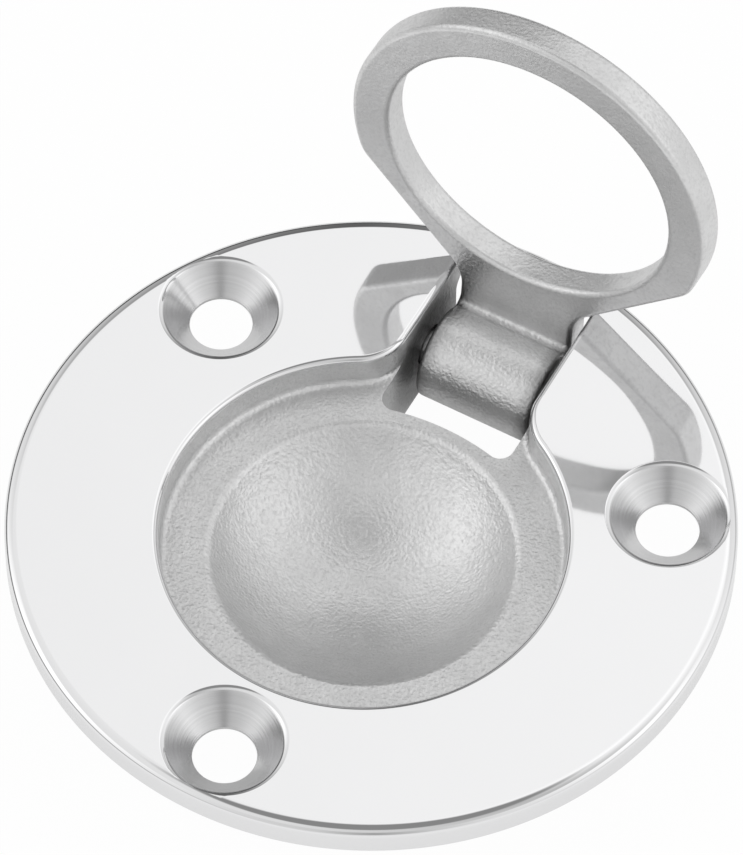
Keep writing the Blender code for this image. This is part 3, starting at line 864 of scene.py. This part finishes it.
def plate_material(finish, sizes):
    """Polished face and rim, satin recess, cup and underside, turned countersinks, told apart by place."""
    made, tree, shader, coords = material("Cast plate")
    grain = add_grain(tree, coords, 1.0 / finish.grain_size)
    x, y, z = parts_of(tree, coords)

    # polished: near the top face with a ragged lower edge, and outside the rim
    ragged = product(tree, maths(tree, "SUBTRACT", noise(tree, coords, 900.0, 3.0, 0.6), 0.5), RAGGED)
    face = fade(tree, maths(tree, "ADD", z, ragged), sizes.thickness, POLISH_BOTTOM)
    outside = fade(tree, distance(tree, x, y), sizes.radius, POLISH_RIM)
    polish = maths(tree, "MAXIMUM", face, product(tree, outside, fade(tree, z, 0.0, POLISH_BACK)))

    # machined: in a screw hole, below its polished lip and above the plate's back face
    near = nearest_screw_axis(tree, x, y, sizes)
    machined = fade(tree, near, sizes.head_radius, COUNTERSINK_TOP)
    machined = product(tree, machined, fade(tree, z, 0.0, COUNTERSINK_FOOT))

    # painted shade: the pocket's side walls are darker near the hinge axis, beside the barrel
    beside = fade(tree, maths(tree, "ABSOLUTE", x), sizes.neck_half, POCKET_SIDES)
    painted_shade = product(tree, beside, fade(tree, from_hinge(tree, y, z), 0.0, SHADE_NEAR_HINGE))
    satin = tint(tree, painted_shade, satin_colour(tree, grain, finish.satin), scaled(finish.satin, PAINTED_SHADE))

    low_tone, high_tone = (scaled(finish.polished, tone_share) for tone_share in MACHINED_TONES)
    turned_tone = tint(tree, noise_rings(tree, near, 5000.0), low_tone, high_tone)
    colour = tint(tree, machined, tint(tree, polish, satin, tuple(finish.polished)), turned_tone)
    tree.links.new(colour, shader.inputs["Base Color"])
    rough = blend(tree, polish, satin_roughness(tree, grain, finish.satin_rough), finish.polish_rough)
    tree.links.new(blend(tree, machined, rough, finish.machined_rough), shader.inputs["Roughness"])

    # unevenness: pebbles on the casting, long waves in the polish and turning marks in the screw holes
    cast_share = product(tree, maths(tree, "SUBTRACT", 1.0, polish), maths(tree, "SUBTRACT", 1.0, machined))
    cast = bump(tree, grain["Height"], cast_share, GRAIN_HEIGHT)
    waves = bump(tree, noise(tree, coords, 110.0, 1.0, 0.5), polish, WAVE_HEIGHT, cast)
    marks = noise_rings(tree, near, 11000.0)
    turned = bump(tree, marks, product(tree, machined, 0.4), MARK_HEIGHT, waves)
    tree.links.new(turned, shader.inputs["Normal"])
    return made


def noise_rings(tree, away, per_metre):
    """Fine turning marks: a noise that varies only with the distance from the hole's axis."""
    join = tree.nodes.new("ShaderNodeCombineXYZ")
    tree.links.new(product(tree, away, per_metre), join.inputs[0])
    return noise(tree, join.outputs[0], 1.0, 2.0, 0.6)


def pin_material(finish):
    """Drawn steel with a faint fine grain."""
    made, tree, shader, coords = material("Drawn pin")
    grain = add_grain(tree, coords, 4000.0)
    colour = tint(tree, grain["Clouds"], scaled(finish.satin, 0.93), tuple(finish.satin))
    tree.links.new(colour, shader.inputs["Base Color"])
    tree.links.new(blend(tree, grain["Hollows"], 0.28, 0.34), shader.inputs["Roughness"])
    tree.links.new(bump(tree, grain["Height"], 0.15, PIN_GRAIN_HEIGHT), shader.inputs["Normal"])
    return made


# Studio

def photo_camera():
    """Camera at the photograph's angle. The image is 743 by 855."""
    azimuth, elevation, roll = math.radians(28.707), math.radians(57.127), math.radians(0.35)
    far, focal = 0.59575, 7646.97   # metres and pixels
    spot = Vector((371.14, 535.09))   # the frame's origin in the photograph, in pixels
    back = Vector((math.sin(azimuth) * math.cos(elevation), -math.cos(azimuth) * math.cos(elevation),
                   math.sin(elevation)))
    right = Vector((math.cos(azimuth), math.sin(azimuth), 0))
    up = back.cross(right)
    right, up = math.cos(roll) * right + math.sin(roll) * up, math.cos(roll) * up - math.sin(roll) * right
    base = Matrix((right, up, back)).transposed()
    toward = Vector(((spot.x - PHOTO_WIDTH / 2) / focal, -(spot.y - PHOTO_HEIGHT / 2) / focal, -1)).normalized()
    turn = toward.rotation_difference(Vector((0, 0, -1))).to_matrix()
    only_nothing()
    bpy.ops.object.camera_add(location=(0, 0, 0))
    camera = bpy.context.active_object
    camera.name = "photo_camera"
    camera.data.lens = focal / PHOTO_HEIGHT * SENSOR
    camera.data.sensor_width = SENSOR
    camera.data.clip_start, camera.data.clip_end = 0.01, 20
    camera.matrix_world = Matrix.Translation(back * far) @ (base @ turn).to_4x4()
    bpy.context.scene.camera = camera


def floor_material(studio):
    """Pale floor that the camera, metal and glass see as white, with the object's shadow kept faint. The metal sees
    less of the glow under and behind the object, as a painted shadow under it and painted shade behind it."""
    made = bpy.data.materials.new("Pale floor")
    made.use_nodes = True
    tree = made.node_tree
    shader = tree.nodes["Principled BSDF"]
    shader.inputs["Base Color"].default_value = (*studio.floor, 1.0)
    shader.inputs["Roughness"].default_value = 0.9
    shader.inputs["Specular IOR Level"].default_value = 0.0
    glow = tree.nodes.new("ShaderNodeEmission")
    glow.inputs["Color"].default_value = (1, 1, 1, 1)
    glow.inputs["Strength"].default_value = 1.0
    light = tree.nodes.new("ShaderNodeLightPath")
    x, y, _ = parts_of(tree, tree.nodes.new("ShaderNodeTexCoord").outputs["Object"])
    behind = maths(tree, "ADD", product(tree, x, AWAY_X), product(tree, y, AWAY_Y))
    # painted shadow under the object and painted shade behind it, in the floor's glow that the metal sees
    under = ramp(tree, distance(tree, x, y), *UNDER_OBJECT, UNDER_GLOW, 1.0)
    glossy = product(tree, light.outputs["Is Glossy Ray"], under)
    glossy = product(tree, glossy, ramp(tree, behind, *BEHIND_OBJECT, 1.0, BEHIND_GLOW))
    seen = maths(tree, "MAXIMUM", light.outputs["Is Camera Ray"], glossy)
    seen = maths(tree, "MAXIMUM", seen, light.outputs["Is Transmission Ray"])
    mix = tree.nodes.new("ShaderNodeMixShader")
    tree.links.new(product(tree, seen, 0.97), mix.inputs[0])
    tree.links.new(shader.outputs[0], mix.inputs[1])
    tree.links.new(glow.outputs[0], mix.inputs[2])
    tree.links.new(mix.outputs[0], tree.nodes["Material Output"].inputs[0])
    return made


def studio_floor(studio):
    """Wide floor just below the lowest point of the object."""
    only_nothing()
    bpy.ops.mesh.primitive_plane_add(size=6, location=(0, 0, CAD_BOX[0].z - FLOOR_GAP))
    floor = newest("studio_floor")
    floor.data.materials.append(floor_material(studio))


def panel_band(tree, azimuth, tones):
    """Light of one band of the sky, from tones evenly spaced from -Y towards +X and all the way round."""
    made = tree.nodes.new("ShaderNodeValToRGB")
    stops = made.color_ramp.elements
    while len(stops) > 1:
        stops.remove(stops[-1])
    for k, value in enumerate([*tones, tones[0]]):
        stop = stops[0] if k == 0 else stops.new(k / len(tones))
        stop.position = k / len(tones)
        stop.color = (value, value, value, 1.0)
    tree.links.new(azimuth, made.inputs["Fac"])
    return made.outputs["Color"]


def studio_world(studio):
    """Soft panels in three bands round the object and a zenith, blended into each other."""
    world = bpy.data.worlds.new("Soft studio")
    world.use_nodes = True
    tree = world.node_tree
    back = tree.nodes["Background"]
    x, y, z = parts_of(tree, tree.nodes.new("ShaderNodeTexCoord").outputs["Generated"])
    azimuth = maths(tree, "ARCTAN2", x, product(tree, y, -1.0))
    azimuth = maths(tree, "FRACT", maths(tree, "DIVIDE", azimuth, math.tau))
    elevation = product(tree, maths(tree, "ARCSINE", z), 180 / math.pi)
    light = panel_band(tree, azimuth, LOW_PANELS)
    light = tint(tree, ramp(tree, elevation, *LOW_TO_SIDE), light, panel_band(tree, azimuth, SIDE_PANELS))
    light = tint(tree, ramp(tree, elevation, *SIDE_TO_HIGH), light, panel_band(tree, azimuth, HIGH_PANELS))
    light = tint(tree, ramp(tree, elevation, *HIGH_TO_ZENITH), light, (ZENITH, ZENITH, ZENITH))
    tree.links.new(light, back.inputs["Color"])
    back.inputs["Strength"].default_value = studio.fill
    bpy.context.scene.world = world


# Operators

class RINGPULL_OT_plate(bpy.types.Operator):
    """Models the cast plate with its recess, cup, lugs and screw holes"""
    bl_idname = "ringpull.plate"
    bl_label = "Cast plate"

    def execute(self, context):
        settings = context.scene.ring_pull
        plate = model_plate(settings.plate, settings.ring)
        plate.data.materials.clear()
        plate.data.materials.append(plate_material(settings.finish, settings.plate))
        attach(plate, "plate")
        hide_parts("base_plate")
        return {"FINISHED"}


class RINGPULL_OT_ring(bpy.types.Operator):
    """Models the hinged ring with its tab and barrel, open on its stop"""
    bl_idname = "ringpull.ring"
    bl_label = "Hinged ring"

    def execute(self, context):
        settings = context.scene.ring_pull
        ring = model_ring(settings.ring, settings.plate)
        ring.data.materials.clear()
        ring.data.materials.append(ring_material(settings.finish, settings.ring))
        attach(ring, "ring")
        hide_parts("pull_ring")
        return {"FINISHED"}


class RINGPULL_OT_pin(bpy.types.Operator):
    """Models the hinge pin"""
    bl_idname = "ringpull.pin"
    bl_label = "Hinge pin"

    def execute(self, context):
        settings = context.scene.ring_pull
        pin = model_pin(settings.ring, settings.plate)
        pin.data.materials.clear()
        pin.data.materials.append(pin_material(settings.finish))
        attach(pin, "plate")
        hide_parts("hinge_pin")
        return {"FINISHED"}


class RINGPULL_OT_stage(bpy.types.Operator):
    """Adds the floor, the soft light and the camera"""
    bl_idname = "ringpull.stage"
    bl_label = "Studio"

    def execute(self, context):
        studio = context.scene.ring_pull.studio
        context.scene.view_settings.view_transform = "Standard"
        studio_floor(studio)
        studio_world(studio)
        photo_camera()
        return {"FINISHED"}


class RINGPULL_PT_panel(bpy.types.Panel):
    """Lists the steps that build the ring pull"""
    bl_idname = "RINGPULL_PT_panel"
    bl_label = "Ring Pull"
    bl_space_type = "VIEW_3D"
    bl_region_type = "UI"
    bl_category = "Ring Pull"

    def draw(self, context):
        for step in STEPS:
            self.layout.operator(step.bl_idname)


STEPS = (RINGPULL_OT_plate, RINGPULL_OT_ring, RINGPULL_OT_pin, RINGPULL_OT_stage)
CLASSES = (PlateSizes, RingSizes, Finish, Studio, RingPull, *STEPS, RINGPULL_PT_panel)


def register():
    for item in CLASSES:
        bpy.utils.register_class(item)
    bpy.types.Scene.ring_pull = bpy.props.PointerProperty(type=RingPull)


def unregister():
    del bpy.types.Scene.ring_pull
    for item in reversed(CLASSES):
        bpy.utils.unregister_class(item)


def main():
    register()
    bpy.ops.ringpull.plate()
    bpy.ops.ringpull.ring()
    bpy.ops.ringpull.pin()
    bpy.ops.ringpull.stage()


if __name__ == "__main__":
    main()
